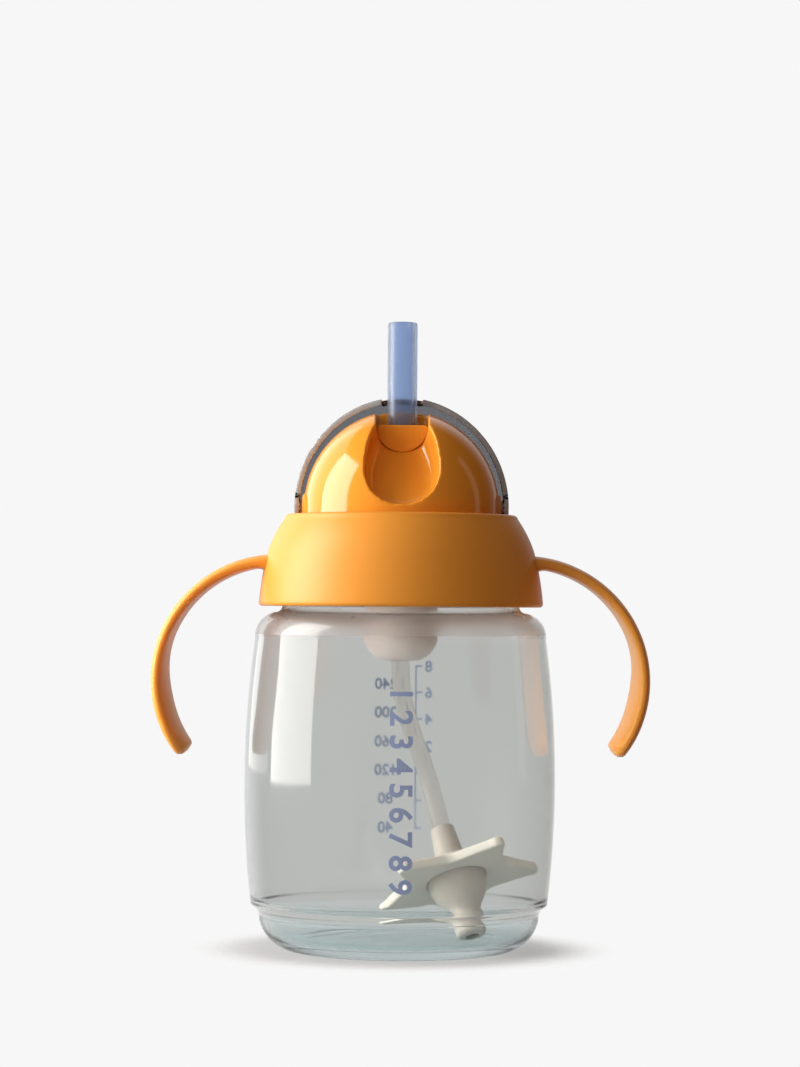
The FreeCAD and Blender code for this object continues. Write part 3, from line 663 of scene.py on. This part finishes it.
# ------------------------------------------------------------------ weighted straw
@dataclass
class WeightedStraw:
    """Lower tube, sleeve, star and bulb, on the weight's leaning axis."""

    # route of the tube in metres, from the bowl down into the sleeve
    route: tuple[Point3, ...] = (
        (0.0, 0.0, 0.07185), (0.0, 0.0, 0.0646), (0.0024, 0.0031, 0.0556), (0.0066, 0.0052, 0.0445),
        (0.009625, 0.000952, 0.033683), (0.011909, -0.003222, 0.025808))
    tube_r: float = 2.2
    length: float = 49.9
    hub: Point3 = (13.1, -5.4, 21.7)
    lean: Point3 = (-0.2482, 0.4537, 0.8559)

    def axis(self) -> Matrix:
        """Placement of the weight's own axis in the frame, in metres."""
        up = Vector(self.lean).normalized()
        side = Vector((0, 1, 0)).cross(up).normalized()
        turn = Matrix((side, up.cross(side), up)).transposed().to_4x4()
        return Matrix.Translation(Vector(self.hub) * MM) @ turn

    def tube(self) -> None:
        """The limp tube, a smooth curve that hangs from the bowl to the sleeve."""
        data = bpy.data.curves.new("lower_tube_line", "CURVE")
        data.dimensions = "3D"
        data.resolution_u = 24
        line = data.splines.new("NURBS")
        line.points.add(len(self.route) - 1)
        for point, place in zip(line.points, self.route):
            point.co = (*place, 1.0)
        line.order_u = 3
        line.use_endpoint_u = True
        data.bevel_depth = self.tube_r * MM
        data.bevel_resolution = 8
        tube = link_in("hanging_tube", data)
        data.materials.append(CLEAR_TUBE.material())
        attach(tube, "weighted_straw")
        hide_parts("lower_tube")
        log.info("hanging tube, %.1f mm long", self.length)

    def star(self) -> None:
        """Soft five-armed star, every edge rounded off."""
        star = copy_of("star_grip", "soft_star")
        soften(star, 0.35, 12)
        smooth(star, 60)
        dress(star, CREAM_STAR.material())
        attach(star, "weighted_straw")
        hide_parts("star_grip")
        report(star)

    def turnings(self) -> None:
        """Sleeve above the star and bulb with its post below, both turned on the axis."""
        sleeve_profile = [(1.7, -4.1), (2.6, -4.1), (2.6, 1.2), (4.2, 1.2), (4.1, 1.9), (3.6, 2.45),
                          (2.98, 9.3)]
        sleeve_profile += arc((2.98, 9.3), (2.85, 9.65), (2.5, 9.8), 4)
        sleeve_profile += [(2.25, 9.8), (2.25, 4.8), (1.7, 4.8), (1.7, -4.1)]
        sleeve = turned("tube_sleeve", sleeve_profile, 72)
        bulb_profile = [(1.7, -20.15), (2.2, -20.15)] + arc((2.2, -20.15), (3.4, -19.75), (3.83, -18.6), 6)
        bulb_profile += [(3.78, -16.0)] + arc((3.78, -16.0), (3.9, -13.2), (4.6, -11.6), 6)
        bulb_profile += arc((4.6, -11.6), (6.6, -8.2), (7.28, -5.0), 10)
        bulb_profile += arc((7.28, -5.0), (6.75, -2.5), (4.8, -1.2), 8)
        bulb_profile += [(2.66, -1.2), (2.66, -4.3), (1.7, -4.3), (1.7, -20.15)]
        bulb = turned("weight_bulb_shell", bulb_profile, 72)
        for piece, node in ((sleeve, "weight_sleeve"), (bulb, "weight_bulb")):
            piece.data.transform(self.axis())
            smooth(piece, 35)
            dress(piece, CREAM_WEIGHT.material())
            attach(piece, "weighted_straw")
            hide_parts(node)
            report(piece)

    def build(self) -> None:
        """Makes every piece that hangs in the bottle."""
        self.tube()
        self.star()
        self.turnings()
        dress(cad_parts["steel_weight"], TURNED_STEEL.material())


# ------------------------------------------------------------------ bottle
@dataclass
class Bottle:
    """Blown bottle with its printed numbers, sized in millimetres."""

    wall: float = 1.3
    # how far the outside stays inside its envelope, which leaves room for the print
    skin: float = 0.04
    # heights where the finish changes: below the foot's top, and between the shoulder's two
    foot_top: float = 8.8
    shoulder: Point = (78.6, 84.4)
    # radius and height of the side's lower end, widest place and upper end
    low: Point = (37.2, 11.8)
    belly: Point = (38.9, 43.0)
    high: Point = (36.5, 77.1)
    # the ink's gap to the wall and its thickness
    ink_gap: float = 0.012
    ink_thick: float = 0.01
    # the share of its size that a figure fills, and how much bolder it is made
    figure_fill: float = 0.72
    figure_bold: float = 0.035
    # the column of numbers in front: how many, the middle of the first, the pitch and the height
    number_count: int = 9
    number_z: float = 64.6
    number_step: float = 5.75
    number_tall: float = 5.4
    # the scale behind: heights of its figures and ticks, and places across
    small_z: tuple[float, ...] = (69.7, 62.8, 55.8, 48.6)
    tens_z: tuple[float, ...] = (65.1, 57.6, 50.0, 42.5, 35.0, 27.4)
    tick_z: tuple[float, ...] = (69.7, 62.8, 55.8, 48.6, 41.5, 34.4, 27.2)
    figure_tall: float = 2.9
    small_x: float = -7.6
    tens_x: float = 3.8
    line_x: float = -4.4
    line_tall: float = 42.9
    tick_x: float = -5.9
    tick_wide: float = 1.6
    stroke: float = 0.4

    def side_radius(self, height: float) -> float:
        """Outer radius of the body at a height, both in millimetres."""
        points = [self.low] + arc(self.low, self.belly, self.high, 64)
        return float(np.interp(height, [z for _, z in points], [r for r, _ in points])) - self.skin

    def outside(self) -> list[Point]:
        """Outer edge of the section, from the middle of the foot to the mouth."""
        s = self.skin
        line = [(0.0, 1.0), (18.0, 0.9)] + arc((18.0, 0.9), (22.0, 0.7), (25.6, 0.1), 5)
        line += [(26.4, 0.0), (28.0, 0.05)]
        line += arc((28.0, 0.05), (32.6 - s, 2.9), (34.9 - s, 7.4), 14)
        line += arc((34.9 - s, 7.4), (35.35 - s, 9.5), (36.6 - s, 10.9), 8)
        line += arc((36.6 - s, 10.9), (37.05 - s, 11.25), (37.22 - s, 12.0), 4)
        line += arc((37.22 - s, 12.0), (self.belly[0] - s, self.belly[1]), (36.5 - s, 77.1), 48)
        line += arc((36.5 - s, 77.1), (35.2 - s, 81.6), (31.6 - s, 83.9), 14)
        line += arc((31.6 - s, 83.9), (30.3 - s, 84.3), (29.75 - s, 85.2), 5)
        return line + [(29.75 - s, 98.7)] + arc((29.75 - s, 98.7), (29.6 - s, 99.05), (29.25 - s, 99.2), 3)

    def inside(self) -> list[Point]:
        """Inner edge of the section, from the mouth back to the middle of the floor."""
        w = self.wall
        line = [(28.9, 99.2)] + arc((28.9, 99.2), (28.55, 99.05), (28.4, 98.7), 3) + [(28.4, 85.0)]
        line += arc((28.4, 85.0), (28.9, 83.7), (30.2, 83.0), 5)
        line += arc((30.2, 83.0), (33.9, 80.9), (36.5 - w, 76.9), 12)
        line += arc((36.5 - w, 76.9), (self.belly[0] - w, self.belly[1]), (37.2 - w, 12.4), 44)
        line += arc((37.2 - w, 12.4), (34.9, 10.8), (34.1, 8.6), 8)
        line += arc((34.1, 8.6), (31.8, 4.3), (26.0, 2.3), 12)
        return line + [(18.0, 2.2), (0.0, 2.3)]

    def body(self) -> None:
        """The bottle itself."""
        profile = self.outside() + self.inside() + [self.outside()[0]]
        bottle = turned("clear_body", profile, 192)
        smooth(bottle, 50)
        dress(bottle, CLEAR_BOTTLE.material())
        bottle.data.materials.append(CLEAR_FOOT.material())
        bottle.data.materials.append(CLEAR_SHOULDER.material())
        for face in bottle.data.polygons:
            height = face.center.z / MM
            if height < self.foot_top:
                face.material_index = 1
            elif self.shoulder[0] < height < self.shoulder[1]:
                face.material_index = 2
        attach(bottle, "bottle")
        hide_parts("bottle")
        report(bottle)

    def lettering(self, name: str, words: str, tall: float, across: float, height: float) -> bpy.types.Object:
        """One flat number as a mesh.

        Args:
            name: The piece's name.
            words: The number.
            tall: How tall its figures are, in millimetres.
            across: Where its middle is across the bottle, in millimetres.
            height: Where its middle is up the bottle, in millimetres.

        Returns:
            The number, flat in the XY plane.
        """
        deselect()
        bpy.ops.object.text_add()
        text = bpy.context.object
        text.name = name
        text.data.body = words
        text.data.size = tall / self.figure_fill * MM
        text.data.align_x = "CENTER"
        text.data.align_y = "CENTER"
        text.data.resolution_u = 6
        text.data.offset = self.figure_bold * tall * MM
        bpy.ops.object.convert(target="MESH")
        text = bpy.context.object
        text.data.transform(Matrix.Translation((across * MM, height * MM, 0)))
        return text

    def wrap(self, name: str, piece: bpy.types.Object, ink: Moulding, back: bool) -> None:
        """Lays a flat print on the bottle, as a skin a hundredth of a millimetre proud.

        Args:
            name: The finished print's name.
            piece: The flat print.
            ink: What it is printed with.
            back: Whether it lies on the back of the bottle.
        """
        piece.name = name
        apply_modifier(piece, "TRIANGULATE")
        edit(piece)
        # cut every millimetre across, so that the flat print can follow the round wall
        for cut in np.arange(-8.0, 9.0, 1.0):
            bpy.ops.mesh.select_all(action="SELECT")
            bpy.ops.mesh.bisect(plane_co=(cut * MM, 0, 0), plane_no=(1, 0, 0))
        bpy.ops.mesh.select_all(action="SELECT")
        bpy.ops.mesh.remove_doubles(threshold=0.001 * MM)
        bpy.ops.object.mode_set(mode="OBJECT")

        def bend(at: np.ndarray) -> np.ndarray:
            """Takes (across, height) to the bottle's side."""
            radius = np.array([self.side_radius(z) for z in at[:, 1]]) + self.ink_gap
            angle = at[:, 0] / radius
            way = 1.0 if back else -1.0
            return np.stack((-way * radius * np.sin(angle), way * radius * np.cos(angle), at[:, 1]), axis=1)

        reshape(piece, bend)
        apply_modifier(piece, "SOLIDIFY", thickness=self.ink_thick * MM, offset=1.0)
        smooth(piece, 60)
        dress(piece, ink.material())
        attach(piece, "bottle")
        report(piece)

    def front_numbers(self) -> None:
        """A column of plain numbers that reads downwards."""
        parts = []
        for count in range(self.number_count):
            digit = self.lettering(f"digit_{count}", str(count + 1), self.number_tall, 0, 0)
            digit.data.transform(Matrix.Rotation(-math.pi / 2, 4, "Z"))
            digit.data.transform(Matrix.Translation((0, (self.number_z - count * self.number_step) * MM, 0)))
            parts.append(digit)
        self.wrap("front_numbers", unite(*parts), BLUE_INK, back=False)

    def back_scale(self) -> None:
        """Measuring scale: a line with ticks, small numbers on one side and tens on the other."""
        parts = []
        for count, height in enumerate(self.small_z):
            words = str(8 - 2 * count)
            parts.append(self.lettering(f"small_{count}", words, self.figure_tall, self.small_x, height))
        for count, height in enumerate(self.tens_z):
            words = str(240 - 40 * count)
            parts.append(self.lettering(f"tens_{count}", words, self.figure_tall, self.tens_x, height))
        bars = [(self.line_x, self.tick_z[-1], self.stroke, self.line_tall)]
        bars += [(self.tick_x, height, self.tick_wide, self.stroke) for height in self.tick_z]
        for count, (left, low, wide, tall) in enumerate(bars):
            deselect()
            bpy.ops.mesh.primitive_plane_add(size=1.0)
            bar = bpy.context.object
            bar.name = f"bar_{count}"
            bar.data.transform(Matrix.Diagonal((wide * MM, tall * MM, 1, 1)))
            bar.data.transform(Matrix.Translation(((left + wide / 2) * MM, (low + tall / 2) * MM, 0)))
            if tall > wide:
                edit(bar)
                bpy.ops.mesh.subdivide(number_cuts=24)
                bpy.ops.object.mode_set(mode="OBJECT")
            parts.append(bar)
        self.wrap("back_scale", unite(*parts), PALE_INK, back=True)

    def build(self) -> None:
        """Makes the bottle and its print."""
        self.body()
        self.front_numbers()
        self.back_scale()


# ------------------------------------------------------------------ collar and handles
@dataclass
class CollarAndHandles:
    """One satin moulding: the screw ring with a strap handle on each side, in millimetres."""

    # the handle's arc: outer radius, centre, and how many degrees below level it ends
    arc_r: float = 31.2
    centre_x: float = 31.0
    centre_z: float = 67.15
    end: float = 39.0
    # its section: thickness, the crown outside, and how square its edges and faces are
    thick: float = 2.6
    crown: float = 0.6
    edge_power: float = 0.4
    face_power: float = 0.62
    # half its width at the root and in the leaf, which opens over these degrees down to level
    root_half: float = 7.0
    leaf_half: float = 13.0
    open_over: float = 80.0
    # the palm side's swell: its height, the angle where it begins, and the degrees to its full height
    palm: float = 1.7
    palm_from: float = 25.0
    palm_over: float = 40.0
    # how far from its free end it narrows, and thins
    tip: float = 9.0
    blunt: float = 1.4
    # the root's swell is full up to this far outside the arc's centre, and fades over the next
    root_from: float = 2.6
    root_over: float = 3.0

    def ring(self) -> bpy.types.Object:
        """The screw ring, turned."""
        profile = [(34.5, 85.4)] + arc((34.5, 85.4), (35.3, 85.65), (35.58, 86.4), 5)
        profile += arc((35.58, 86.4), (34.85, 92.2), (33.4, 99.0), 10)
        profile += arc((33.4, 99.0), (31.65, 103.3), (29.2, 107.4), 10)
        profile += arc((29.2, 107.4), (28.75, 108.15), (28.1, 108.38), 5)
        profile += [(27.7, 108.38)] + arc((27.7, 108.38), (27.55, 108.3), (27.5, 108.1), 3)
        profile += [(27.5, 106.4), (28.7, 106.4), (31.5, 98.4), (33.3, 86.0), (33.5, 85.4), (34.5, 85.4)]
        return turned("collar_and_handles", profile, 180)

    def handle(self, side: int) -> bpy.types.Object:
        """One strap handle.

        Args:
            side: -1 for the left handle and 1 for the right one.

        Returns:
            The strap as a closed mesh, its root sunk in the ring.
        """
        deselect()
        bpy.ops.mesh.primitive_circle_add(vertices=48, radius=1.0 * MM, fill_type="NGON")
        strap = bpy.context.object
        strap.name = f"handle_{side}"
        half_thick, middle = self.thick / 2, self.arc_r - self.crown - self.thick / 2

        def flatten(at: np.ndarray) -> np.ndarray:
            """Makes the round a flat section with soft edges, crowned outside, standing over the centre."""
            along = np.sign(at[:, 0]) * np.abs(at[:, 0]) ** self.edge_power
            across = np.sign(at[:, 1]) * np.abs(at[:, 1]) ** self.face_power * half_thick
            across += np.where(across > 0, self.crown * (1 - along ** 2), 0)
            return np.stack((np.full(len(at), self.centre_x), along, self.centre_z + middle + across), axis=1)

        reshape(strap, flatten)
        bpy.ops.object.mode_set(mode="EDIT")
        bpy.ops.mesh.select_mode(type="VERT")
        bpy.ops.mesh.select_all(action="SELECT")
        bpy.ops.mesh.spin(steps=96, angle=-math.radians(90 + self.end), axis=(0, 1, 0),
                          center=(self.centre_x * MM, 0, self.centre_z * MM))
        close_up()
        end = math.radians(-self.end)

        def finish(at: np.ndarray) -> np.ndarray:
            """Widens the strap to a leaf, rounds its free end and eases its root."""
            x, z = at[:, 0] - self.centre_x, at[:, 2] - self.centre_z
            radius, angle = np.hypot(x, z), np.arctan2(z, x)
            left = (angle - end) * middle
            open_up = np.clip((math.radians(self.open_over) - angle) / math.radians(self.open_over), 0, 1)
            half = self.root_half + (self.leaf_half - self.root_half) * open_up ** 2 * (3 - 2 * open_up)
            near = np.clip(1 - left / self.tip, 0, 1)
            half *= 1 - 0.5 * (1 - np.sqrt(1 - near ** 2 * 0.98))
            # the palm side swells in the middle where it is held
            held = np.clip((math.radians(self.palm_from) - angle) / math.radians(self.palm_over), 0, 1)
            palm = self.palm * held ** 2 * (3 - 2 * held) * (1 - at[:, 1] ** 2) * (radius < middle)
            radius = radius - palm
            at[:, 1] *= half
            blunt = np.clip(1 - left / self.blunt, 0, 1)
            thin = np.sqrt(1 - 0.9 * blunt ** 2)
            # the root swells inwards close to the ring's wall
            root = np.clip(1 - (x - self.root_from) / self.root_over, 0, 1) * (angle > 1.0)
            radius = middle + (radius - middle) * thin * np.where(radius < middle, 1 + 0.9 * root ** 2, 1)
            at[:, 0] = self.centre_x + radius * np.cos(angle)
            at[:, 2] = self.centre_z + radius * np.sin(angle)
            return at

        reshape(strap, finish)
        if side < 0:
            strap.data.transform(Matrix.Diagonal((-1, 1, 1, 1)))
            choose(strap)
            bpy.ops.object.mode_set(mode="EDIT")
            close_up()
        return strap

    def build(self) -> None:
        """Makes the moulding."""
        ring, straps = self.ring(), (self.handle(-1), self.handle(1))
        dress(ring, SATIN_COLLAR.material())
        for strap in straps:
            dress(strap, SATIN_STRAP_PAINTED_LIGHT.material())
        moulding = unite(ring, *straps)
        smooth(moulding, 35)
        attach(moulding, "collar")
        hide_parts("collar", "handle_left", "handle_right")
        report(moulding)


# ------------------------------------------------------------------ lid
@dataclass
class Lid:
    """Dome with its saddle, visor, straw and the milky bowl below, in millimetres."""

    # height of the dome's and the visor's shared middle, and how big each is from there
    pivot_z: float = 110.2
    dome_r: float = 24.5
    visor_side: float = 26.9
    visor_rise: float = 27.8
    visor_wall: float = 1.4
    # the dome's upright foot starts at this height, and what is lower is left alone
    dome_foot: float = 107.9
    # faces of the visor's rim lie no further back than this
    rim_y: float = 3.0
    # how near to its true skin a point is moved onto it
    reach: float = 0.22
    tongue_gain: float = 0.3
    # the straw: its axis, bore, outer radius and ends, and where it folds
    straw_y: float = -1.5
    straw_bore: float = 2.45
    straw_r: float = 3.72
    straw_low: float = 102.65
    straw_high: float = 156.55
    straw_rings: int = 60
    fold_z: float = 129.2

    def dome(self) -> None:
        """Glossy dome, its scoop's edges rounded and its ball trued again."""
        dome = copy_of("dome", "glossy_dome")
        soften(dome, 0.34, 24)
        centre, radius = self.pivot_z, self.dome_r

        def true_up(at: np.ndarray) -> np.ndarray:
            """Puts what is near the ball or its upright foot exactly on it."""
            across = np.hypot(at[:, 0], at[:, 1])
            rise = np.clip(at[:, 2] - centre, 0, None)
            far = np.hypot(across, rise)
            hold = np.clip(1.6 - np.abs(far - radius) / self.reach, 0, 1) * (at[:, 2] > self.dome_foot)
            scale = 1 + hold * (radius / np.maximum(far, 1e-6) - 1)
            at[:, 0] *= scale
            at[:, 1] *= scale
            at[:, 2] = np.where(at[:, 2] > centre, centre + rise * scale, at[:, 2])
            return at

        reshape(dome, true_up)
        apply_modifier(dome, "SMOOTH", factor=0.5, iterations=8)
        smooth(dome, 60)
        dress(dome, GLOSS_DOME.material())
        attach(dome, "lid")
        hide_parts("dome")
        report(dome)

    def saddle(self) -> None:
        """Tongue in front of the straw, its edges rounded."""
        saddle = copy_of("straw_saddle", "straw_tongue")
        soften(saddle, 0.14, 5)
        low, high = (np.array(corner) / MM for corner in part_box("straw_saddle"))
        grow = 1 + self.tongue_gain * 2 / (high[0] - low[0])

        def widen(at: np.ndarray) -> np.ndarray:
            """Closes the gap beside and below the tongue, and keeps its top."""
            at[:, 0] *= grow
            at[:, 2] = high[2] - (high[2] - at[:, 2]) * grow
            return at

        reshape(saddle, widen)
        smooth(saddle, 60)
        dress(saddle, GLOSS_DOME.material())
        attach(saddle, "lid")
        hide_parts("straw_saddle")
        report(saddle)

    def visor(self) -> None:
        """Smoked visor, its rim rounded and both its skins trued again."""
        visor = copy_of("visor", "smoke_visor_shell")
        soften(visor, 0.33, 4)
        centre, reach = self.pivot_z, self.reach
        skins = ((self.visor_side, self.visor_rise),
                 (self.visor_side - self.visor_wall, self.visor_rise - self.visor_wall))

        def true_up(at: np.ndarray) -> np.ndarray:
            """Puts what is near either skin exactly on it."""
            for side, rise in skins:
                upright = (at[:, 1] ** 2 + (at[:, 2] - centre) ** 2) / rise ** 2
                share = np.sqrt((at[:, 0] / side) ** 2 + upright)
                hold = np.clip(1.6 - np.abs(share - 1) * rise / reach, 0, 1)
                scale = 1 + hold * (1 / np.maximum(share, 1e-6) - 1)
                at[:, 0] *= scale
                at[:, 1] *= scale
                at[:, 2] = centre + (at[:, 2] - centre) * scale
            return at

        reshape(visor, true_up)
        smooth(visor, 60)
        dress(visor, SMOKE_VISOR.material())
        visor.data.materials.append(SMOKE_RIM_PAINTED_LIGHT.material())
        # the front-facing rim faces take the paler rim finish: painted light
        for face in visor.data.polygons:
            face.material_index = int(face.normal.y < -0.7 and face.center.y < self.rim_y * MM)
        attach(visor, "visor")
        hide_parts("visor")
        report(visor)

    def straw(self) -> None:
        """One soft straight straw that rises through the dome."""
        low, high, bore, radius, count = (
            self.straw_low, self.straw_high, self.straw_bore, self.straw_r, self.straw_rings)
        profile = [(bore, low), (radius, low)]
        profile += [(radius, low + (high - 0.6 - low) * (i + 1) / count) for i in range(count)]
        profile += arc((radius, high - 0.6), (3.54, high - 0.17), (3.12, high), 5)
        profile += arc((3.12, high), (2.65, high - 0.15), (bore, high - 0.5), 4)
        profile += [(bore, high - 0.5 + (low - high + 0.5) * (i + 1) / count) for i in range(count)]
        straw = turned("drinking_straw", profile, 48)
        straw.data.transform(Matrix.Translation((0, self.straw_y * MM, 0)))
        smooth(straw, 50)
        dress(straw, BLUE_STRAW.material())
        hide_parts("straw_stem", "straw_tip")
        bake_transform(straw)
        report(straw)

    def bowl(self) -> None:
        """Milky bowl under the lid that the lower tube plugs into."""
        profile = [(1.65, 71.95), (4.5, 71.95)] + arc((4.5, 71.95), (8.0, 74.35), (9.25, 79.0), 14)
        profile += [(9.28, 97.1)] + arc((9.28, 97.1), (9.4, 97.25), (9.6, 97.3), 3)
        profile += [(11.2, 97.3), (11.2, 100.95), (8.0, 100.95), (8.0, 79.0)]
        profile += arc((8.0, 79.0), (6.75, 75.2), (4.0, 73.2), 10)
        profile += [(1.65, 73.2), (1.65, 71.95)]
        bowl = turned("milky_bowl", profile, 96)
        smooth(bowl, 40)
        dress(bowl, MILKY_BOWL.material())
        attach(bowl, "lid")
        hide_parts("valve_bowl")
        report(bowl)

    def build(self) -> None:
        """Makes the lid's pieces and dresses the nodes inside it."""
        self.dome()
        self.saddle()
        self.visor()
        self.straw()
        self.bowl()
        for node in ("valve_plate", "lid_gasket", "slit_valve", "air_vent_valve"):
            dress(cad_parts[node], MILKY_BOWL.material())


def main() -> None:
    """Builds the studio and the cup."""
    logging.basicConfig(level=logging.INFO, format="%(name)s: %(message)s")
    Studio().build()
    WeightedStraw().build()
    Bottle().build()
    CollarAndHandles().build()
    Lid().build()


if __name__ == "__main__":
    main()
